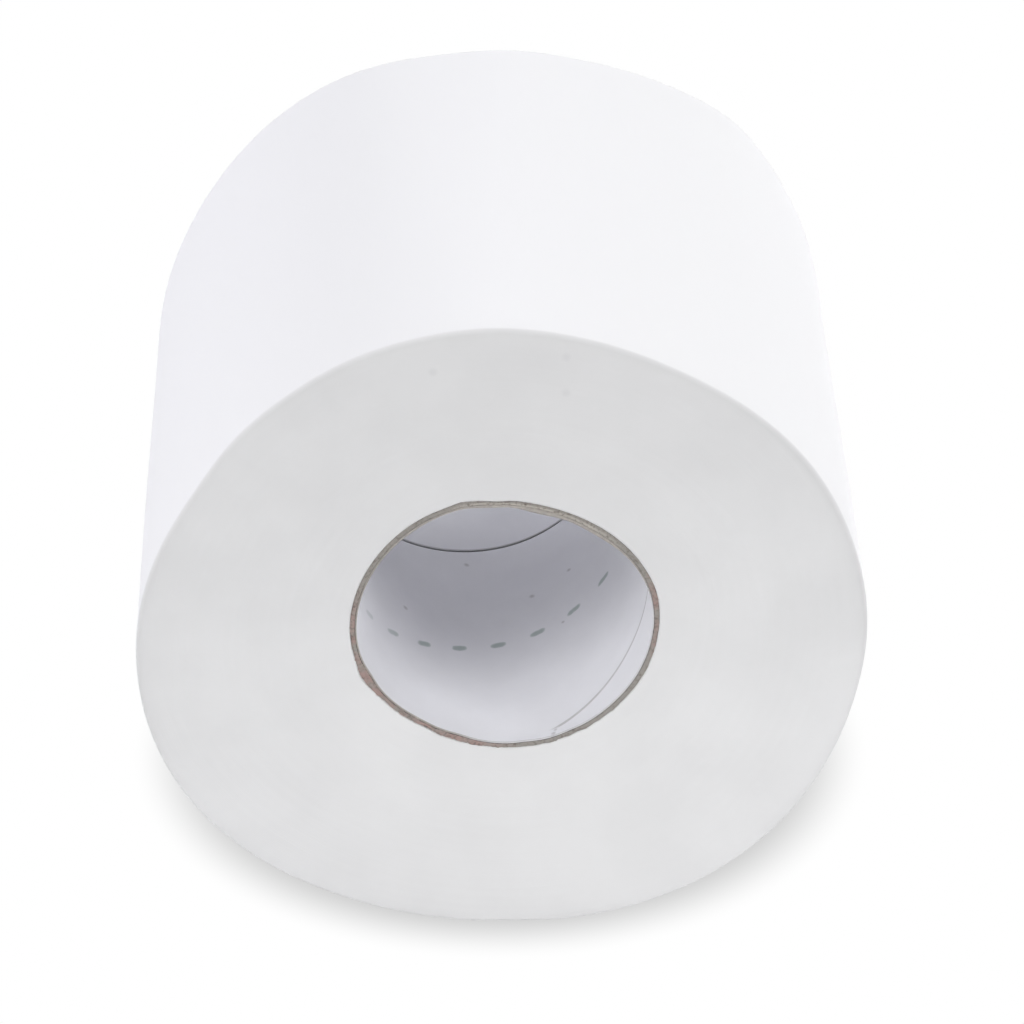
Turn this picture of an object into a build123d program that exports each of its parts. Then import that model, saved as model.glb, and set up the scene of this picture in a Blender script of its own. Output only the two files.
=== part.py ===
"""A roll of toilet paper lying on its side, with the end that the photograph shows towards -Y.

Millimetres. The roll's axis runs along Y and +Z is up. The origin lies on the surface that the roll
rests on, under the middle of its box.
"""
import os
from math import cos, pi, radians, sin

from build123d import *

# The wound roll
sheet_width = 90.0
roll_diameter = 112.0
edge_softening = 1.2

# How far the outline is out of round: the heights of a cosine and a sine wave, from +X towards +Z. The
# upper right shoulder is full, and the upper right and lower left sides are flattened.
two_waves = (0.30, 0.23)
three_waves = (-0.16, -0.52)
four_waves = (-0.24, 0.41)

# How far the soft roll's weight presses its underside flat
flat_press = 0.5

# The core: a board tube with a thin liner glued inside it, and the first sheet glued to its outside. Its
# bore sits above and a little to the right of the middle of the outline.
bore_diameter = 45.0
liner_wall = 0.2
board_wall = 0.7
glue_film = 0.05
bore_rise = 3.35
bore_shift = 0.3

# The liner is one strip wound as a helix, with a narrow gap between its edges
strip_pitch = 55.3
strip_gap = 0.25
gap_start_angle = -81.0

# The turns that stand out on each end of the roll
turn_lines = 4
turn_line_width = 0.5
turn_line_depth = 0.3
turn_line_margin = 1.5

# The loose end of the outermost sheet, straight across the hidden underside
sheet_end_angle = -140.0
sheet_end_width = 0.5
sheet_end_depth = 0.3

# How many arcs carry the outline, and how many carry one turn of the turn line
outline_arcs = 24
turn_arcs = 8

# Sizes that follow from the ones above
roll_radius = roll_diameter / 2
half_width = sheet_width / 2
bore_radius = bore_diameter / 2
liner_radius = bore_radius + liner_wall
board_bore_radius = liner_radius + glue_film
board_radius = board_bore_radius + board_wall
hub_radius = board_radius + glue_film
build_up = roll_radius - hub_radius


def outline_point(angle):
    """The natural outline, about its own middle: a circle with two, three and four waves round it."""
    radius = roll_radius
    for count, (cosine, sine) in ((2, two_waves), (3, three_waves), (4, four_waves)):
        radius += cosine * cos(count * angle) + sine * sin(count * angle)
    return radius * cos(angle), radius * sin(angle)


# The outline's middle is placed so that the pressed flat lies at Z 0 and both sides reach equally far
natural_outline = [outline_point(radians(degree)) for degree in range(360)]
natural_sides = [x for x, z in natural_outline]
natural_heights = [z for x, z in natural_outline]
centre_x = -(min(natural_sides) + max(natural_sides)) / 2
centre_z = -min(natural_heights) - flat_press
bore_x = centre_x + bore_shift
bore_z = centre_z + bore_rise


def wound_point(angle, share):
    """A point of the winding: share 0 lies on the core's outside, and share 1 on the roll's outline."""
    hub_x = bore_x + hub_radius * cos(angle)
    hub_z = bore_z + hub_radius * sin(angle)
    skin_x, skin_z = outline_point(angle)
    return hub_x + share * (centre_x + skin_x - hub_x), hub_z + share * (centre_z + skin_z - hub_z)


# Each arc of the outline and of the turn line passes through three points, and shares its last one with
# the next arc
outline_steps = 2 * outline_arcs
outline_points = [wound_point(2 * pi * step / outline_steps, 1) for step in range(outline_steps + 1)]

# The turn line is a spiral groove that starts clear of the core and ends clear of the softened edge
first_share = turn_line_margin / build_up
last_share = 1 - (edge_softening + turn_line_margin) / build_up
groove_half_share = turn_line_width / 2 / build_up
groove_steps = 2 * turn_arcs * turn_lines


def groove_edge(side):
    """The points of one edge of the groove: its share of the winding grows evenly with the angle."""
    points = []
    for step in range(groove_steps + 1):
        share = first_share + (last_share - first_share) * step / groove_steps
        points.append(wound_point(pi * step / turn_arcs, share + side * groove_half_share))
    return points


groove_inner_edge = groove_edge(-1)
groove_outer_edge = groove_edge(1)

# The helix that cuts the liner's gap starts straight above the bore's axis, so far in front of the roll
# that it has turned to gap_start_angle where it meets the front end. It runs on past the back end, and
# its cut is twice as deep as the wall on each side.
gap_lead_in = strip_pitch * (gap_start_angle + 270) / 360
gap_run_on = strip_pitch / 4
gap_cut_depth = 4 * liner_wall

front_plane = Plane.XZ.offset(half_width)
back_plane = Plane.XZ.offset(-half_width)

with BuildPart() as tissue_roll:
    with BuildSketch(back_plane):
        with BuildLine():
            for step in range(0, outline_steps, 2):
                ThreePointArc(*outline_points[step : step + 3])
        make_face()
    extrude(amount=sheet_width)
    end_faces = tissue_roll.faces().filter_by(Axis.Y)
    chamfer(end_faces.edges(), edge_softening)
    split(bisect_by=Plane.XY, keep=Keep.TOP)
    with BuildSketch(back_plane):
        with Locations((bore_x, bore_z)):
            Circle(hub_radius)
    extrude(amount=sheet_width, mode=Mode.SUBTRACT)
    for end_plane, inwards in ((front_plane, -turn_line_depth), (back_plane, turn_line_depth)):
        with BuildSketch(end_plane):
            with BuildLine():
                for step in range(0, groove_steps, 2):
                    ThreePointArc(*groove_inner_edge[step : step + 3])
                    ThreePointArc(*groove_outer_edge[step : step + 3])
                Line(groove_inner_edge[0], groove_outer_edge[0])
                Line(groove_inner_edge[-1], groove_outer_edge[-1])
            make_face()
        extrude(amount=inwards, mode=Mode.SUBTRACT)
    with BuildSketch(back_plane):
        with Locations(Location(wound_point(radians(sheet_end_angle), 1), sheet_end_angle)):
            Rectangle(2 * sheet_end_depth, sheet_end_width)
    extrude(amount=sheet_width, mode=Mode.SUBTRACT)
tissue_roll.part.label = "tissue_roll"

with BuildPart() as core_board:
    with BuildSketch(back_plane):
        with Locations((bore_x, bore_z)):
            Circle(board_radius)
            Circle(board_bore_radius, mode=Mode.SUBTRACT)
    extrude(amount=sheet_width)
core_board.part.label = "core_board"

with BuildPart() as core_liner:
    with BuildSketch(back_plane):
        with Locations((bore_x, bore_z)):
            Circle(liner_radius)
            Circle(bore_radius, mode=Mode.SUBTRACT)
    extrude(amount=sheet_width)
    with BuildLine() as gap_path:
        Helix(
            strip_pitch,
            gap_lead_in + sheet_width + gap_run_on,
            bore_radius + liner_wall / 2,
            center=(bore_x, -half_width - gap_lead_in, bore_z),
            direction=(0, 1, 0),
            lefthand=True,
        )
    gap_start = gap_path.line @ 0
    with BuildSketch(Plane(origin=gap_start, x_dir=(0, 0, 1), z_dir=gap_path.line % 0)):
        Rectangle(gap_cut_depth, strip_gap)
    sweep(path=gap_path.line, is_frenet=True, mode=Mode.SUBTRACT)
core_liner.part.label = "core_liner"

os.makedirs("parts", exist_ok=True)
for piece in (tissue_roll, core_board, core_liner):
    export_step(piece.part, f"parts/{piece.part.label}.step")
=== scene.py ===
"""A toilet paper roll lying on its side: the board core, the paper liner inside it and the wound tissue.

Lengths are in metres, with mm as a thousandth. The roll's axis runs along Y, the end that the photograph
shows faces -Y, and the floor is at Z 0. Angles run about the axis from +X towards +Z.
"""
from math import pi, radians

import bmesh
import bpy
import numpy as np
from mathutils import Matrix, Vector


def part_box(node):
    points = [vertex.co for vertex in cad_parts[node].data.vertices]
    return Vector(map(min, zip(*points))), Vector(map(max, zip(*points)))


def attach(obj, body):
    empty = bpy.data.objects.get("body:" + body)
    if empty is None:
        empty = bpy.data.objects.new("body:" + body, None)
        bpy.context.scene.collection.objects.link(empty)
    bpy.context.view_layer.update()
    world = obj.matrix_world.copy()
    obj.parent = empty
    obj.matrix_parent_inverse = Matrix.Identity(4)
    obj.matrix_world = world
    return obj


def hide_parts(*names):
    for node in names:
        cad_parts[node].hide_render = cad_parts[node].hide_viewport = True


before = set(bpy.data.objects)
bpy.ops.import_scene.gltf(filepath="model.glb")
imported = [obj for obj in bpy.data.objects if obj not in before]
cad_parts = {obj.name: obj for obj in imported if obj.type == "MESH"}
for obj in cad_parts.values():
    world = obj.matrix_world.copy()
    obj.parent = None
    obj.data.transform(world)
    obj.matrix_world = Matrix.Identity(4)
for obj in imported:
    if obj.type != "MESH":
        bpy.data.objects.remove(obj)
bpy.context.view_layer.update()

# Core board
# The stiff tube that the tissue is wound on, made of grey-brown chipboard from waste paper. It is cut from a
# long log together with the tissue, so the blade leaves its rim ragged, bruised and a little proud.
mm = 0.001
board_low, board_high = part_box("core_board")
liner_low, liner_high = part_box("core_liner")
half_width = board_high.y
bore_x = (board_low.x + board_high.x) / 2
bore_z = (board_low.z + board_high.z) / 2
glue_film = 0.05 * mm
board_radius = (board_high.x - board_low.x) / 2
liner_radius = (liner_high.x - liner_low.x) / 2

# How far the winding has squeezed the core and pressed it out of round: for each number of waves round it,
# the height of a cosine and of a sine
core_waves = {
    0: (-0.13 * mm, 0), 2: (0.25 * mm, -0.11 * mm), 3: (0.04 * mm, 0.06 * mm), 4: (0.10 * mm, 0.24 * mm)}

# Where the blade has bruised the rim: the angle and the reach in degrees, and how far the wall swells
# outwards and inwards
rim_bruises = (
    (14, 9, 0.12 * mm, 0.00 * mm),
    (47, 15, 0.10 * mm, 0.10 * mm),
    (80, 9, -0.06 * mm, 0.05 * mm),
    (93, 5, -0.27 * mm, 0.12 * mm),
    (106, 4, 0.26 * mm, -0.10 * mm),
    (204, 6, 0.48 * mm, 0.22 * mm),
    (234, 8, -0.12 * mm, 0.12 * mm),
    (251, 6, 0.12 * mm, 0.20 * mm),
    (279, 6, -0.04 * mm, 0.18 * mm),
    (296, 6, -0.10 * mm, 0.15 * mm),
    (332, 16, 0.24 * mm, -0.14 * mm),
)
bruise_depth = 1.2 * mm

# The back rim has the same bruises, mirrored and turned by this angle
back_rim_turn = radians(200)


def waves(angle, heights):
    """For each whole number of waves round the circle, a height times a cosine and a sine, all added up."""
    return sum(high * np.cos(n * angle) + side * np.sin(n * angle) for n, (high, side) in heights.items())


def bells(angle, marks):
    """A bell curve of the angle for each mark, which is an angle and a reach in degrees and a height."""
    away = [((np.degrees(angle) - centre + 180) % 360 - 180) / reach for centre, reach, height in marks]
    return sum(mark[2] * np.exp(-(part**2)) for part, mark in zip(away, marks))


def bruises(angle, outwards):
    """How far the bruises swell the wall's outside outwards, or its inside, which counts as less radius."""
    return bells(angle, [(mark[0], mark[1], mark[2] if outwards else -mark[3]) for mark in rim_bruises])


def core_radius(angle, y, radius, outwards):
    """The radius plus the core's waves, plus the bruises, which die away from each end as a bell curve."""
    front = np.exp(-(((y + half_width) / bruise_depth) ** 2))
    back = np.exp(-(((y - half_width) / bruise_depth) ** 2))
    swell = bruises(angle, outwards) * front + bruises(back_rim_turn - angle, outwards) * back
    return radius + waves(angle, core_waves) + swell


def about_bore(angle, y, radius):
    """Points at an angle and a radius about the bore's axis, as an array of X, Y and Z."""
    x, z = bore_x + radius * np.cos(angle), bore_z + radius * np.sin(angle)
    return np.stack([x, y + 0 * angle, z], axis=-1)


def roughness(angle, across, slowest, fastest, count, seed):
    """Cosine waves with random phases, each a whole number round the circle and any number across."""
    draw = np.random.default_rng(seed)
    total = 0 * angle
    for around in draw.integers(slowest, fastest, count):
        lean, phase = draw.uniform(-pi, pi), draw.uniform(0, 2 * pi)
        total = total + np.cos(around * angle + lean * across + phase)
    return total / np.sqrt(count / 2)


# Points of a mesh that are nearer to each other than this become one point
weld_reach = 0.001 * mm


def make_piece(name, points, maps, closed=True):
    """A mesh on a grid of points, with its section along the rows and four neighbours to a face. maps holds
    the UV point of each corner, with one row and one column more where the grid closes on itself. The section
    always closes, and closed says whether the last column joins the first. Points at one place are joined."""
    rows, columns = points.shape[:2]
    row, column = (grid.ravel() for grid in np.mgrid[0:rows, 0:columns if closed else columns - 1])
    next_row, next_column = (row + 1) % rows, (column + 1) % columns
    corners = [row * columns + column, next_row * columns + column,
               next_row * columns + next_column, row * columns + next_column]
    places = [maps[row, column], maps[row + 1, column], maps[row + 1, column + 1], maps[row, column + 1]]
    mesh = bpy.data.meshes.new(name)
    mesh.from_pydata(points.reshape(-1, 3), [], np.stack(corners, axis=-1))
    corner_maps = np.stack(places, axis=1).astype(np.float32)
    mesh.uv_layers.new(name="wound").data.foreach_set("uv", corner_maps.ravel())
    welded = bmesh.new()
    welded.from_mesh(mesh)
    bmesh.ops.remove_doubles(welded, verts=welded.verts, dist=weld_reach)
    welded.to_mesh(mesh)
    welded.free()
    mesh.shade_smooth()
    piece = bpy.data.objects.new(name, mesh)
    bpy.context.scene.collection.objects.link(piece)
    return piece


# The board's section is a loop: out across the front rim, back along its outside, in across the back rim
# and forwards along its bore
rim_rows = 14
rim_columns = 720
rim_share = np.linspace(0, 1, rim_rows)
end_depths = np.array([0.15, 0.4, 0.8, 1.3, 2.0, 3.5, 9.0]) * mm
wall_y = np.concatenate([end_depths - half_width, half_width - end_depths[::-1]])
board_y = np.concatenate([-half_width + 0 * rim_share, wall_y, half_width + 0 * rim_share, wall_y[::-1]])
board_share = np.concatenate([rim_share, 1 + 0 * wall_y, rim_share[::-1], 0 * wall_y])
angle, y = np.meshgrid(np.arange(rim_columns) * 2 * pi / rim_columns, board_y)
share = np.repeat(board_share[:, None], rim_columns, axis=1)

# The middle of the rim stands proud, and its lumps and torn fibres die away inside the tube. They lean away
# from the middle of the wall, but less on its inner half, and grow where the blade came out: the angle and
# the reach in degrees, and the added part.
rim_proud = 0.10 * mm
crown_fullness = 0.7
rim_lumps = 0.04 * mm
fibre_lumps = 0.03 * mm
inner_lean = 0.4
torn_part = ((235, 32, 1.1),)
near_end = np.exp(-(((half_width - np.abs(y)) / bruise_depth) ** 2))
lumps = rim_lumps * roughness(angle, share, slowest=8, fastest=60, count=30, seed=1)
lumps = lumps + fibre_lumps * roughness(angle, share, slowest=60, fastest=300, count=60, seed=2)
lumps = lumps * (1 + bells(angle, torn_part))
crown = np.sin(pi * share) ** crown_fullness
wall_in = core_radius(angle, y, liner_radius + glue_film, False)
wall_out = core_radius(angle, y, board_radius, True)
lean = 2 * share - 1
board_points = about_bore(
    angle,
    y + np.sign(y) * near_end * crown * (rim_proud + lumps),
    wall_in + share * (wall_out - wall_in) + lumps * near_end * np.maximum(lean, inner_lean * lean))
board_maps = np.stack(np.meshgrid(np.linspace(0, 1, rim_columns + 1), np.append(board_share, 0)), axis=-1)
core_board = make_piece("board_tube", board_points, board_maps)


def paint(code):
    """The linear colour, with alpha 1, of an sRGB hex code."""
    parts = np.array([int(code[at:at + 2], 16) for at in (0, 2, 4)]) / 255
    return (*np.where(parts <= 0.04045, parts / 12.92, ((parts + 0.055) / 1.055) ** 2.4), 1)


def add_node(tree, kind, inputs=None, **settings):
    """Adds a node. Each of its inputs, by name or number, takes a value, another node's output, or another
    node, which gives its first output."""
    node = tree.nodes.new(kind)
    for setting, value in settings.items():
        setattr(node, setting, value)
    for socket, value in (inputs or {}).items():
        if isinstance(value, bpy.types.Node):
            value = value.outputs[0]
        if isinstance(value, bpy.types.NodeSocket):
            tree.links.new(value, node.inputs[socket])
        else:
            node.inputs[socket].default_value = value
    return node


def reckon(tree, operation, *values):
    """The result of an operation, by its name, on numbers, nodes or outputs."""
    return add_node(tree, "ShaderNodeMath", dict(enumerate(values)), operation=operation)


def ramp(tree, value, start, stop, low=0.0, high=1.0, **settings):
    """A mask that goes from low to high as the value goes from start to stop, and is level beyond them."""
    return add_node(tree, "ShaderNodeMapRange", {
        "Value": value, "From Min": start, "From Max": stop, "To Min": low, "To Max": high}, **settings)


def noise(tree, place, size, detail):
    """Soft noise between 0 and 1, in lumps about as large as the size."""
    return add_node(tree, "ShaderNodeTexNoise", {"Vector": place, "Scale": 1 / size, "Detail": detail})


def blend(tree, share, one, other):
    """The colour between one and other at the share of the way. Each is a hex code or an output."""
    ends = [paint(end) if isinstance(end, str) else end for end in (one, other)]
    return add_node(tree, "ShaderNodeMix", {0: share, 6: ends[0], 7: ends[1]}, data_type="RGBA").outputs[2]


def towards(tree, from_axis, radius, angle, least, most):
    """A mask that rises from 0 to 1 as a place goes away from the axis at the angle, from least to most. Both
    are parts of the radius."""
    toward = (np.cos(radians(angle)), 0, np.sin(radians(angle)))
    reach = add_node(tree, "ShaderNodeVectorMath", {0: from_axis, 1: toward}, operation="DOT_PRODUCT")
    return ramp(tree, reach.outputs["Value"], least * radius, most * radius)


def empty_tree(owner):
    """The node tree of a new material or world, without the nodes that it comes with."""
    owner.use_nodes = True
    owner.node_tree.nodes.clear()
    return owner.node_tree


def matt(tree, color, height, depth, strength, rough, shine):
    """Ends a material with a matt surface of the colour, and with bumps whose height is a part of depth."""
    bump = add_node(tree, "ShaderNodeBump", {"Height": height, "Distance": depth, "Strength": strength})
    shader = add_node(tree, "ShaderNodeBsdfPrincipled", {
        "Base Color": color, "Normal": bump, "Roughness": rough, "Specular IOR Level": shine})
    add_node(tree, "ShaderNodeOutputMaterial", {"Surface": shader})


# Chipboard: pulped waste paper, matt and mottled. The rim is redder at the lower left and at the right, and
# its inner half is paler above. The bore is painted near-black, partly for the glue that holds the liner and
# partly as a painted shade of the seam's narrow gap, through which it shows.
board_grey = "938F8A"
board_red = "9D8883"
board_pale = "B3ADA6"
board_dark = "6E6661"
glue_and_gap_shade = "2E2C32"
fibre_size = 0.5 * mm
fibre_depth = 0.1 * mm
mottle_size = 2.5 * mm

# Each patch: its angle, and where it starts and is full along it, as parts of the board's radius
red_lower_left = (218, 0.5, 0.7)
red_right = (4, 0.93, 0.97)
pale_above = (75, 0.75, 0.9)
board = bpy.data.materials.new("chipboard")
tree = empty_tree(board)
place = add_node(tree, "ShaderNodeTexCoord").outputs["Object"]
from_axis = add_node(tree, "ShaderNodeVectorMath", {0: place, 1: (bore_x, 0, bore_z)}, operation="SUBTRACT")
on_section = add_node(tree, "ShaderNodeUVMap", uv_map="wound")
across = add_node(tree, "ShaderNodeSeparateXYZ", {0: on_section}).outputs["Y"]
mottle = noise(tree, place, mottle_size, 4.0)
fibres = noise(tree, place, fibre_size, 3.0)
redness = reckon(
    tree, "MAXIMUM", towards(tree, from_axis, board_radius, *red_lower_left),
    towards(tree, from_axis, board_radius, *red_right))
red_patches = reckon(tree, "MULTIPLY", redness, ramp(tree, mottle, 0.35, 0.6))
above = towards(tree, from_axis, board_radius, *pale_above)
pale = reckon(tree, "MULTIPLY", above, ramp(tree, across, 0.4, 0.7, 1.0, 0.0))
tinted = blend(tree, red_patches, board_grey, board_red)
paled = blend(tree, pale, tinted, board_pale)
fibred = blend(tree, ramp(tree, fibres, 0.5, 0.75), paled, board_dark)
# The whole bore wall is painted near-black: the glue, and a painted shade for the seam's gap
glued_and_gap_shaded = blend(tree, ramp(tree, across, 0.0, 0.02, 1.0, 0.0), fibred, glue_and_gap_shade)
matt(tree, glued_and_gap_shaded, fibres, fibre_depth, 0.6, 0.95, 0.2)
core_board.data.materials.append(board)
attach(core_board, "root")
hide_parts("core_board")

# Core liner
# One strip of thin white paper, wound as a helix and glued inside the board, with a narrow gap between its
# edges. It is printed with a row of green register dashes along its middle before it is wound.
liner_wall = 0.2 * mm
inner_radius = liner_radius - liner_wall
strip_pitch = 55.3 * mm
seam_at_end = radians(-81)
strip_edge_lift = 0.05 * mm
strip_edge_reach = 0.8 * mm

# How wide the seam's gap is at some depths behind the front end, the depths between which the near seam turns
# sharply to the rim, and how far the strip's point stands clear of the rest
seam_depths = (1 * mm, 9 * mm, 12 * mm, 30 * mm)
seam_gaps = (0.11 * mm, 0.03 * mm, 0.03 * mm, 0.45 * mm)
hook_depths = (1.65 * mm, 2.0 * mm)
hook_gap = 0.02 * mm

# Where the blade has left a burr of paper inside the front rim: angle, reach and height
liner_burrs = ((52, 14, 0.35 * mm), (76, 10, 0.60 * mm), (97, 8, 0.30 * mm), (128, 12, 0.10 * mm))
burr_depth = 0.5 * mm


def seam_y(turned):
    """Y of the strip's front edge: it moves back by one pitch for each turn, as a helix does."""
    return -half_width + strip_pitch * (turned - seam_at_end) / (2 * pi)


def hooked(y):
    """Y of an edge of the strip, with its first 2 mm behind the front end turned sharply to the rim."""
    depth = y + half_width
    kept = np.clip((depth - hook_depths[0]) / (hook_depths[1] - hook_depths[0]), 0, 1)
    return np.where(depth > 0, depth * kept, depth) - half_width


# The strip starts where its back edge meets the front end, and stops where its front edge meets the back end.
# A turn has a whole number of columns, so that the two edges of the gap bend at the same places, and the
# strip's point stands clear of the front edge one turn later.
first_turned = seam_at_end - 2 * pi + 2 * pi * hook_depths[0] / strip_pitch
last_turned = seam_at_end + 2 * pi * 2 * half_width / strip_pitch
columns_in_turn = 200
strip_rows = 36
strip_columns = np.append(np.arange(first_turned, last_turned, 2 * pi / columns_in_turn), last_turned)
strip_columns[0] += 2 * pi * hook_gap / strip_pitch
strip_share = np.sin(np.linspace(-pi / 2, pi / 2, strip_rows)) / 2 + 0.5
turned = np.repeat(strip_columns[None, :], len(strip_share), axis=0)
gap = np.interp(seam_y(turned) + strip_pitch + half_width, seam_depths, seam_gaps)
front_edge = hooked(seam_y(turned))
back_edge = hooked(seam_y(turned) + strip_pitch)
strip_front = np.maximum(front_edge, -half_width)
strip_back = np.clip(back_edge - gap, -half_width, half_width)
y = strip_front + strip_share[:, None] * (strip_back - strip_front)
to_edge = np.minimum(y - front_edge, back_edge - y)
lifted = strip_edge_lift * np.exp(-((to_edge / strip_edge_reach) ** 2))
burr = bells(turned, liner_burrs) * np.exp(-(((y + half_width) / burr_depth) ** 2))
strip_bore = core_radius(turned, y, inner_radius, False) - lifted - burr
strip_glued = core_radius(turned, y, liner_radius, False)
strip_points = np.concatenate([about_bore(turned, y, strip_bore)[::-1], about_bore(turned, y, strip_glued)])
strip_maps = np.stack([turned * inner_radius, y - seam_y(turned)], axis=-1)
strip_maps = np.concatenate([strip_maps[::-1], strip_maps, strip_maps[-1:]])
core_liner = make_piece("liner_strip", strip_points, strip_maps, closed=False)

# Bleached kraft paper: smooth, matt and slightly blue, with soft-edged dashes in thin green-grey ink, which
# fade at the left.
liner_white = "EFEFF3"
liner_cloudy = "E7E7EB"
liner_cloud_size = 6 * mm
dash_ink = "6F8A80"
dash_step = radians(16.5) * inner_radius
dash_place = radians(-91.2) * inner_radius
dash_length = 2.6 * mm
dash_width = 1.4 * mm
ink_strength = 0.55
blot_size = 0.8 * mm
faded_place = radians(-165) * inner_radius
inked_place = radians(-125) * inner_radius
faded_ink = 0.25
grain_size = 0.25 * mm
grain_depth = 0.02 * mm

# Its cut edges are greyer, from the blade and from glue, in the depths from each end. In the reaches from the
# seam its long edges are greyed by a painted shade of the seam's gap. One part of the cut is clean: its
# angle, and where it starts and is full, as parts of the radius.
cut_paper = "BDB6AE"
cut_and_seam_shade_grey = "8E8A88"
cut_clean = "CBCACD"
clean_cut = (-45, 0.35, 0.65)
cut_depths = (0.25 * mm, 0.1 * mm)
seam_shade = 0.45
seam_shade_reaches = (0.45 * mm, 0.2 * mm)

# A few dark specks from the pulp, and after them two more in the turn of the near seam, which paint the shade
# of its gap there: angle, depth behind the front end, and reach
speck_strength = 0.4
speck_places = (
    (-103.7, 47.7 * mm, 0.6 * mm), (-76.4, 39.1 * mm, 0.6 * mm), (-133.6, 28.0 * mm, 0.6 * mm),
    (-59.5, 42.9 * mm, 0.5 * mm), (-63.5, 29.3 * mm, 0.4 * mm),
    (-69.2, 1.4 * mm, 0.4 * mm), (-70.1, 0.6 * mm, 0.5 * mm))
liner_specks_and_hook_shade = []
for turn, depth, reach in speck_places:
    wall = core_radius(radians(turn), depth - half_width, inner_radius, False)
    liner_specks_and_hook_shade.append((*about_bore(radians(turn), depth - half_width, wall), reach))


def specks(tree, place, spots):
    """A mask for faint spots, each given as its X, Y and Z and its reach, and 0 outside them."""
    mask = None
    for x, y, z, reach in spots:
        away = add_node(tree, "ShaderNodeVectorMath", {0: place, 1: (x, y, z)}, operation="DISTANCE")
        spot = ramp(tree, away.outputs["Value"], 0.3 * reach, reach, speck_strength, 0.0)
        mask = reckon(tree, "MAXIMUM", mask, spot) if mask else spot
    return mask


liner = bpy.data.materials.new("liner_paper")
tree = empty_tree(liner)
place = add_node(tree, "ShaderNodeTexCoord").outputs["Object"]
strip_place = add_node(tree, "ShaderNodeSeparateXYZ", {0: add_node(tree, "ShaderNodeUVMap", uv_map="wound")})
from_dash = reckon(tree, "SUBTRACT", strip_place.outputs["X"], dash_place)
along = reckon(tree, "DIVIDE", reckon(tree, "PINGPONG", from_dash, dash_step / 2, 0.0), dash_length / 2)
from_middle = reckon(tree, "SUBTRACT", strip_place.outputs["Y"], strip_pitch / 2)
off_line = reckon(tree, "DIVIDE", from_middle, dash_width / 2)
blot = noise(tree, place, blot_size, 2.0)
out_squared = reckon(tree, "MULTIPLY_ADD", off_line, off_line, reckon(tree, "POWER", along, 4.0))
ragged = reckon(tree, "MULTIPLY_ADD", blot, 0.8, out_squared)
ink = ramp(tree, ragged, 0.5, 1.8, ink_strength, 0.0, interpolation_type="SMOOTHSTEP")
inking = ramp(tree, strip_place.outputs["X"], faded_place, inked_place, faded_ink)
ink = reckon(tree, "MULTIPLY", ink, inking)
cloudy = blend(tree, noise(tree, place, liner_cloud_size, 3.0), liner_cloudy, liner_white)
printed = blend(tree, ink, cloudy, dash_ink)
# Pulp specks, and two painted shades of the gap in the near seam's turn
specked_and_hook_shaded = blend(tree, specks(tree, place, liner_specks_and_hook_shade), printed, cut_and_seam_shade_grey)

# A painted shade of the seam's gap along the strip's two long edges, by its own UV, left out in the turn of
# the near seam, and the tone of its cut edge at each end of the roll
seam_shade_mask = ramp(
    tree, reckon(tree, "ABSOLUTE", from_middle), strip_pitch / 2 - seam_shade_reaches[0],
    strip_pitch / 2 - seam_shade_reaches[1], 0.0, seam_shade)
from_centre = reckon(tree, "ABSOLUTE", add_node(tree, "ShaderNodeSeparateXYZ", {0: place}).outputs["Y"])
unhooked = ramp(tree, from_centre, half_width - hook_depths[1], half_width - hook_depths[0], 1.0, 0.0)
# The strip's long edges are greyed here as a painted shade of the seam's gap
seam_shaded = blend(tree, reckon(tree, "MULTIPLY", seam_shade_mask, unhooked), specked_and_hook_shaded, cut_and_seam_shade_grey)
by_end = ramp(tree, from_centre, half_width - cut_depths[0], half_width - cut_depths[1])
from_axis = add_node(tree, "ShaderNodeVectorMath", {0: place, 1: (bore_x, 0, bore_z)}, operation="SUBTRACT")
clean = towards(tree, from_axis, liner_radius, *clean_cut)
cut_tone = blend(tree, clean, blend(tree, blot, cut_and_seam_shade_grey, cut_paper), cut_clean)
edged = blend(tree, by_end, seam_shaded, cut_tone)
matt(tree, edged, noise(tree, place, grain_size, 2.0), grain_depth, 0.5, 0.75, 0.3)
core_liner.data.materials.append(liner)
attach(core_liner, "root")
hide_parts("core_liner")

# Wound tissue
# One long sheet of soft two-ply tissue, glued to the core and wound on it until its loose end lies under the
# roll. Both ends are sawn square, the saw rounds the outer edge, and the roll's own weight flattens its
# underside.
tissue_low, tissue_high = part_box("tissue_roll")
roll_radius = 56 * mm
outline_waves = {2: (0.30 * mm, 0.23 * mm), 3: (-0.16 * mm, -0.52 * mm), 4: (-0.24 * mm, 0.41 * mm)}
sheet_thickness = 0.28 * mm
sheet_end_angle = radians(-140)
edge_reach = 2.6 * mm
edge_depth = 1.1 * mm
tear_ragged = 0.25 * mm
tear_reach = 2.0 * mm
end_lift = 0.06 * mm
end_lift_reach = 5 * mm
end_tucked = 4 * mm

# Where the pack has pressed each end of the roll out of its round: angle, reach, and how far out
front_dents = (
    (2, 11, 0.30 * mm), (45, 9, -0.12 * mm), (60, 14, -0.65 * mm), (92, 11, 0.40 * mm), (126, 11, -0.56 * mm),
    (148, 13, -0.98 * mm), (177, 9, 0.10 * mm))
back_dents = (
    (14, 7, -0.30 * mm), (46, 12, 1.35 * mm), (76, 10, -0.65 * mm), (97, 13, -1.05 * mm),
    (146, 16, -0.20 * mm))

# The middle that the outline is drawn about, from the box of the solid
full_circle = np.linspace(0, 2 * pi, 721)
plain_outline = roll_radius + waves(full_circle, outline_waves)
outline_sides = plain_outline * np.cos(full_circle)
middle_x = (tissue_low.x + tissue_high.x) / 2 - (outline_sides.min() + outline_sides.max()) / 2
middle_z = tissue_high.z - (plain_outline * np.sin(full_circle)).max()

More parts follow.
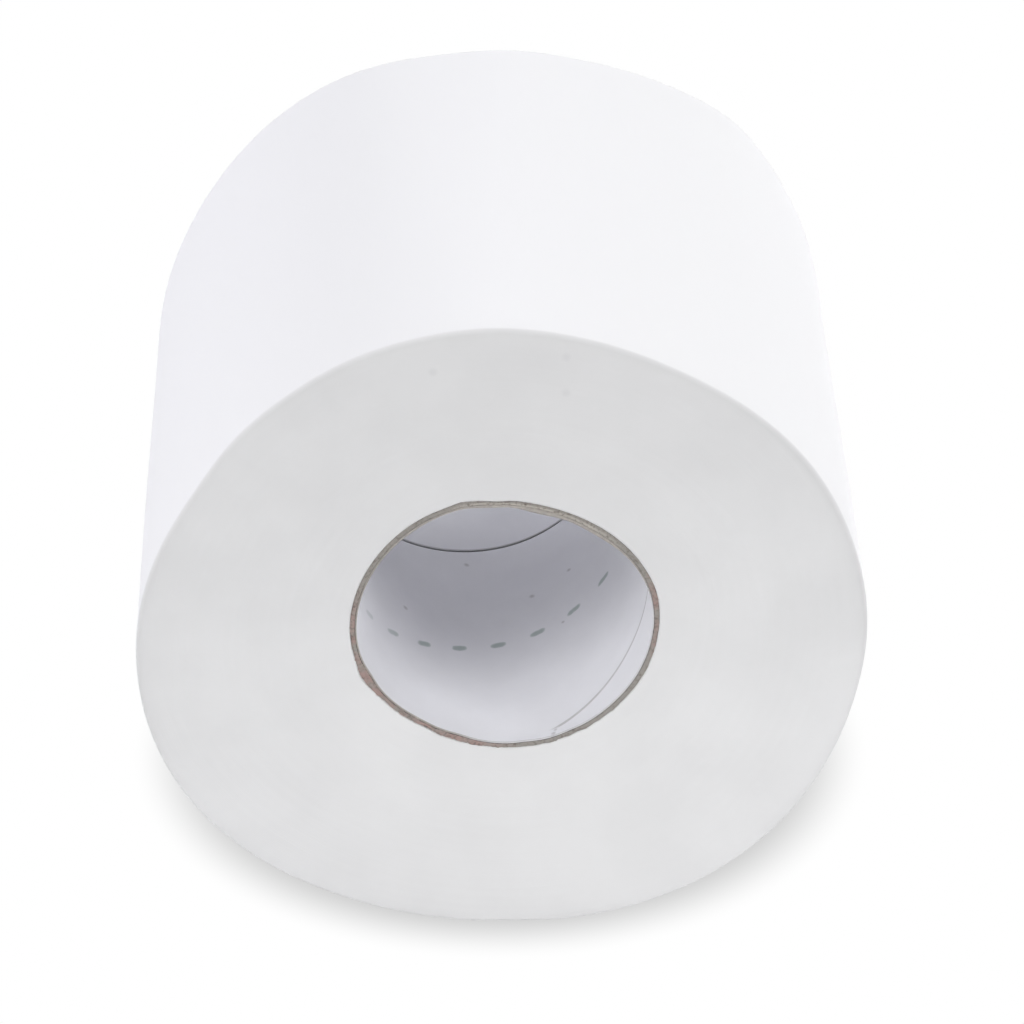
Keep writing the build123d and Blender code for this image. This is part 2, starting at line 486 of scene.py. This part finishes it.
# The roll's section is a loop too: out across the front end, over the rounded edge, back along the outside,
# over the back edge, in across the back end and forwards along the bore
end_rows = 92
edge_rows = 12
side_rows = 42
bore_row_depth = 2 * mm
build_up = roll_radius - board_radius
end_share = np.linspace(0, 1 - edge_reach / build_up, end_rows)[:-1]
over_edge = np.linspace(0, pi / 2, edge_rows)
edge_share = 1 - edge_reach / build_up * (1 - np.sin(over_edge))
edge_y = half_width - edge_depth * (1 - np.cos(over_edge))
side_y = np.linspace(edge_depth - half_width, half_width - edge_depth, side_rows)[1:-1]
bore_y = np.array([half_width - bore_row_depth, bore_row_depth - half_width])
section_y = np.concatenate([
    -half_width + 0 * end_share, -edge_y, side_y, edge_y[::-1], half_width + 0 * end_share, bore_y])
section_share = np.concatenate([
    end_share, edge_share, 1 + 0 * side_y, edge_share[::-1], end_share[::-1], 0 * bore_y])

# The columns run once round from the loose end to the loose end, closer together beside it
wide_columns = 368
close_columns = np.array([0.0, 0.08, 0.25, 0.6, 1.2, 2.0]) * mm / (2 * pi * roll_radius)
round_share = np.concatenate([
    close_columns, np.linspace(close_columns[-1], 1 - close_columns[-1], wide_columns)[1:-1],
    1 - close_columns[::-1]])
wound, y = np.meshgrid(round_share, section_y)
share = np.repeat(section_share[:, None], len(round_share), axis=1)
from_end = np.minimum(wound, 1 - wound) * 2 * pi * roll_radius
along_roll = y / (2 * half_width) * 2 * pi
ragged = tear_ragged * roughness(along_roll, 0 * y, slowest=4, fastest=60, count=30, seed=3)
angle = sheet_end_angle + 2 * pi * wound + ragged / roll_radius * np.exp(-((from_end / tear_reach) ** 2))

# Each turn lies one sheet further out than the last, and the loose end stands off the turn under it, but for
# its two corners, where the saw has pressed it down
loose = np.exp(-(((1 - wound) * 2 * pi * roll_radius / end_lift_reach) ** 2))
curl = 0.5 + 0.5 * roughness(along_roll, 0 * y, slowest=1, fastest=6, count=8, seed=4)
tucked = np.clip((half_width - np.abs(y)) / end_tucked, 0, 1) ** 2
skin_radius = roll_radius + waves(angle, outline_waves)
skin_radius = skin_radius + (sheet_thickness * (wound - 0.5) + end_lift * loose * curl) * tucked
backwards = (y + half_width) / (2 * half_width)
skin_radius = skin_radius + (1 - backwards) * bells(angle, front_dents) + backwards * bells(angle, back_dents)
skin_x, skin_z = middle_x + skin_radius * np.cos(angle), middle_z + skin_radius * np.sin(angle)

# Soft paper never winds quite even: the outside swells and sinks a little, but not at its edges and its
# loose end
side_swell = 0.06 * mm
swell_length = 30 * mm
swell_margin = 4 * mm
swell_end_margin = 20 * mm
on_side = np.clip((half_width - edge_depth - np.abs(y)) / swell_margin, 0, 1) * (share > 0.5)
on_side = on_side * np.clip(from_end / swell_end_margin, 0, 1)
swell = side_swell * roughness(angle, y / swell_length, slowest=3, fastest=14, count=16, seed=5) * on_side
skin_x, skin_z = skin_x + swell * np.cos(angle), skin_z + swell * np.sin(angle)
hub_points = about_bore(angle, y, core_radius(angle, y, board_radius + glue_film, True))
roll_x = hub_points[..., 0] + share * (skin_x - hub_points[..., 0])
roll_z = hub_points[..., 2] + share * (skin_z - hub_points[..., 2])

# The saw has rounded the outer edge more above than below
edge_soft = 0.35 + 0.65 * np.clip(np.sin(angle) + 0.6, 0, 1)
beyond = np.clip(np.abs(y) - half_width + edge_depth, 0, edge_depth)
y = y + np.sign(y) * (share > 1 - edge_reach / build_up) * (1 - edge_soft) * (edge_depth - beyond)

# On each end a few turns stand back as a spiral line, and bands of turns stand a little proud of each other
turn_lines = 4
turn_line_margin = 1.5 * mm
turn_line_width = 0.5 * mm
turn_line_depth = 0.012 * mm
band_height = 0.01 * mm
bands_across = 40
hub_margin = 1 * mm
flat_within = 0.01 * mm
first_share = turn_line_margin / build_up
last_share = 1 - (edge_reach + turn_line_margin) / build_up
line_phase = turn_lines * (share - first_share) / (last_share - first_share) - (angle % (2 * pi)) / (2 * pi)
to_line = (line_phase - np.round(line_phase)) * (last_share - first_share) / turn_lines * build_up
on_line = (line_phase > -0.5) & (line_phase < turn_lines - 0.5)
line = -turn_line_depth * np.exp(-((to_line / turn_line_width) ** 2)) * on_line
bands = band_height * roughness(angle, bands_across * share, slowest=0, fastest=3, count=24, seed=6)
on_end = np.clip((1 - share) * build_up / edge_reach, 0, 1) * np.clip(share * build_up / hub_margin, 0, 1)
on_end = on_end * (np.abs(y) > half_width - flat_within)
roll_y = y + np.sign(y) * (line + bands) * on_end

roll_points = np.stack([roll_x, roll_y, np.maximum(roll_z, 0)], axis=-1)
turns_out = np.hypot(roll_x - hub_points[..., 0], roll_z - hub_points[..., 2]) / sheet_thickness
roll_maps = np.stack([wound, turns_out], axis=-1)
roll_maps = np.concatenate([roll_maps, roll_maps[:1]])
roll_maps = np.concatenate([roll_maps, roll_maps[:, -1:]], axis=1)
tissue_roll = make_piece("wound_tissue", roll_points, roll_maps)

# Creped tissue: bleached pulp, matt and soft, with fine ridges across the sheet's run. On the sawn ends the
# edges of the turns lie side by side, each a little higher or lower than the next.
# The sawn ends are painted greyer than the outside, partly for their duller cut edges and partly as a painted
# shade for the less light that the upright ends get
tissue_white = "F8F8FA"
sawn_and_shade_white = "D8D8D9"
sawn_and_shade_pale = "DCDCDD"
sawn_speck = "CDCDCF"
cloud_size = 16 * mm
end_speck_places = ((9.7, 106.2), (9.7, 100.0), (-10.0, 103.9))
end_speck_reach = 0.9 * mm
crepe_pitch = 0.45 * mm
crepe_length = 4 * mm
pulp_size = 0.2 * mm
paper_depth = 0.03 * mm
tissue = bpy.data.materials.new("creped_tissue")
tree = empty_tree(tissue)
place = add_node(tree, "ShaderNodeTexCoord").outputs["Object"]
apart = add_node(tree, "ShaderNodeSeparateXYZ", {0: place})
on_sheet = add_node(tree, "ShaderNodeSeparateXYZ", {0: add_node(tree, "ShaderNodeUVMap", uv_map="wound")})
off_centre = reckon(tree, "ABSOLUTE", apart.outputs["Y"])
sawn = ramp(tree, off_centre, half_width - edge_depth, half_width - 0.3 * edge_depth)

# The sawn ends: one soft ridge for each turn, whose height follows the place along the whole wound sheet, and
# broad rings that drift as they go round
ring_density = 0.22
ring_drift = 12
spiral = reckon(tree, "SUBTRACT", on_sheet.outputs["Y"], on_sheet.outputs["X"])
sheet_place = reckon(tree, "ADD", reckon(tree, "FLOOR", spiral), on_sheet.outputs["X"])
turn_height = add_node(
    tree, "ShaderNodeTexNoise", {"W": sheet_place, "Scale": 9.0, "Detail": 1.0}, noise_dimensions="1D")
turn_edges = reckon(tree, "MULTIPLY_ADD", reckon(tree, "PINGPONG", spiral, 0.5), 0.6, turn_height)
outwards = add_node(tree, "ShaderNodeCombineXYZ", {0: on_sheet.outputs["Y"]})
ring_place = add_node(
    tree, "ShaderNodeVectorMath", {0: outwards, 1: (ring_density, 0, 0)}, operation="MULTIPLY")
ring_place = add_node(
    tree, "ShaderNodeVectorMath", {0: place, 1: (ring_drift, 0, ring_drift), 2: ring_place},
    operation="MULTIPLY_ADD")
end_height = reckon(tree, "MULTIPLY_ADD", noise(tree, ring_place, 1.0, 2.0), 0.5, turn_edges)

# Dust and the blade's pressure leave pale clouds on the sawn ends, and the pulp a few specks
end_specks = [(x * mm, -half_width, z * mm, end_speck_reach) for x, z in end_speck_places]
cloudiness = ramp(tree, noise(tree, place, cloud_size, 3.0), 0.35, 0.65)
# The ends' tones hold a painted shade as well as the duller sawn paper
end_tone = blend(tree, cloudiness, sawn_and_shade_white, sawn_and_shade_pale)
end_color = blend(tree, specks(tree, place, end_specks), end_tone, sawn_speck)

# The outside: crepe ridges along Y, with pulp fibres over them
crepe_place = add_node(tree, "ShaderNodeCombineXYZ", {
    0: reckon(tree, "MULTIPLY", on_sheet.outputs["X"], 2 * pi * roll_radius / crepe_pitch),
    1: reckon(tree, "MULTIPLY", apart.outputs["Y"], 1 / crepe_length)})
crepe = noise(tree, crepe_place, 1.0, 2.0)
side_height = reckon(tree, "MULTIPLY_ADD", noise(tree, place, pulp_size, 2.0), 0.4, crepe)
height = add_node(tree, "ShaderNodeMix", {0: sawn, 2: side_height, 3: end_height})
matt(tree, blend(tree, sawn, tissue_white, end_color), height, paper_depth, 0.5, 0.95, 0.2)
tissue_roll.data.materials.append(tissue)
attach(tissue_roll, "root")
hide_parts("tissue_roll")

# Floor
# A plain white studio floor. The camera sees it as the photograph's white with a soft shade under the roll,
# which is painted, and the light only meets its diffuse white.
floor_half = 3.0
floor_white = "F9F9F9"
pure_white = "FFFFFF"
shade_dark = 0.58
shade_from = 0.84
shade_to = 1.11
shade_middle = (0.8 * mm, 2 * mm, 0)
shade_reach = (roll_radius, 51.5 * mm, 1)
floor_mesh = bpy.data.meshes.new("studio_floor")
floor_mesh.from_pydata(
    [(-floor_half, -floor_half, 0), (floor_half, -floor_half, 0), (floor_half, floor_half, 0),
     (-floor_half, floor_half, 0)], [], [(0, 1, 2, 3)])
floor = bpy.data.objects.new("studio_floor", floor_mesh)
bpy.context.scene.collection.objects.link(floor)


def as_seen(tree):
    """A mask that is 1 for camera, glossy and transmission rays, and 0 for the rays that carry the light."""
    ray = add_node(tree, "ShaderNodeLightPath")
    mask = reckon(tree, "MAXIMUM", ray.outputs["Is Camera Ray"], ray.outputs["Is Glossy Ray"])
    return reckon(tree, "MAXIMUM", mask, ray.outputs["Is Transmission Ray"])


floor_paint = bpy.data.materials.new("floor_paint")
tree = empty_tree(floor_paint)

# The shade is an ellipse, and its measure is the distance from the middle as a part of the half axes
place = add_node(tree, "ShaderNodeTexCoord").outputs["Object"]
off_middle = add_node(tree, "ShaderNodeVectorMath", {0: place, 1: shade_middle}, operation="SUBTRACT")
in_reaches = add_node(tree, "ShaderNodeVectorMath", {0: off_middle, 1: shade_reach}, operation="DIVIDE")
measure = add_node(tree, "ShaderNodeVectorMath", {0: in_reaches}, operation="LENGTH")
tone = ramp(
    tree, measure.outputs["Value"], shade_from, shade_to, shade_dark, interpolation_type="SMOOTHSTEP")
surface = add_node(tree, "ShaderNodeBsdfDiffuse", {"Color": paint(floor_white)})
shaded = add_node(tree, "ShaderNodeEmission", {"Color": paint(pure_white), "Strength": tone})
shown = add_node(tree, "ShaderNodeMixShader", {0: as_seen(tree), 1: surface, 2: shaded})
add_node(tree, "ShaderNodeOutputMaterial", {"Surface": shown})
floor.data.materials.append(floor_paint)

# Light
# A white studio tent: an even glow all round, a key light high in front on the left, and panels round the
# roll, of which the ones behind it light the far end of its bore.
tent_glow = 0.1
world = bpy.data.worlds.new("studio_tent")
bpy.context.scene.world = world
tree = empty_tree(world)
glow = add_node(tree, "ShaderNodeBackground", {"Color": paint(pure_white), "Strength": tent_glow})
white = add_node(tree, "ShaderNodeBackground", {"Color": paint(pure_white), "Strength": 1.0})
shown = add_node(tree, "ShaderNodeMixShader", {0: as_seen(tree), 1: glow, 2: white})
add_node(tree, "ShaderNodeOutputWorld", {"Surface": shown})

# Each soft box: its name, its azimuth from the front towards +X and its elevation in degrees, its width and
# height, its power in watts and its colour. Each faces the roll from the same distance.
soft_boxes = (
    ("key_box", -30, 55, 0.5, 0.5, 4.5, "FFFFFF"),
    ("left_front_panel", -48, 25, 0.8, 0.8, 3.5, "FFFFFF"),
    ("right_front_panel", 60, 25, 0.5, 0.5, 4.1, "FFFFFF"),
    ("right_back_panel", 130, 20, 0.5, 0.5, 4.6, "FFFFFF"),
    ("left_back_panel", -130, 20, 0.5, 0.5, 2.8, "F4F3FF"),
    ("right_far_panel", 150, 35, 0.5, 0.5, 1.9, "FFFFFF"),
    ("left_far_panel", -150, 35, 0.5, 0.5, 1.7, "F8F8FF"),
    ("top_panel", 0, 88, 1.0, 1.0, 2.0, "FFFFFF"),
)
box_distance = 1.2
box_target = 0.05


def hang_lamp(name, place, tilt, turn, width, height, power, tint):
    """A rectangular lamp at a place, facing down until it is tilted towards +Y and turned about Z."""
    lamp = bpy.data.lights.new(name, "AREA")
    lamp.shape = "RECTANGLE"
    lamp.size, lamp.size_y = width, height
    lamp.energy = power
    lamp.color = paint(tint)[:3]
    box = bpy.data.objects.new(name, lamp)
    bpy.context.scene.collection.objects.link(box)
    box.location = place
    box.rotation_euler = (tilt, 0, turn)
    box.visible_camera = False


for name, azimuth, elevation, width, height, power, tint in soft_boxes:
    turn, rise = radians(azimuth), radians(elevation)
    away, above = box_distance * np.cos(rise), box_distance * np.sin(rise)
    place = (away * np.sin(turn), -away * np.cos(turn), above + box_target)
    hang_lamp(name, place, pi / 2 - rise, turn, width, height, power, tint)

# A white card stands on the floor just in front and throws light up at the lower part of the end
card_place = (0.020, -0.125, 0.01)
card_tilt = radians(115)
card_width, card_height, card_power = 0.20, 0.03, 0.028
hang_lamp("floor_card", card_place, card_tilt, 0, card_width, card_height, card_power, pure_white)

# Camera
# It looks down on the near end from a little to the left, with a long lens, as the photograph was taken
sensor_width = 36
lens = 166.7
nearest, farthest = 0.01, 20
camera_place = (-0.01158, -0.6388, 0.47747)
camera_tilt = radians(56.13)
camera_turn = radians(-1.28)
camera_data = bpy.data.cameras.new("camera")
camera_data.sensor_width = sensor_width
camera_data.lens = lens
camera_data.clip_start, camera_data.clip_end = nearest, farthest
camera = bpy.data.objects.new("camera", camera_data)
bpy.context.scene.collection.objects.link(camera)
camera.location = camera_place
camera.rotation_euler = (camera_tilt, 0, camera_turn)
bpy.context.scene.camera = camera
bpy.context.scene.view_settings.view_transform = "Standard"
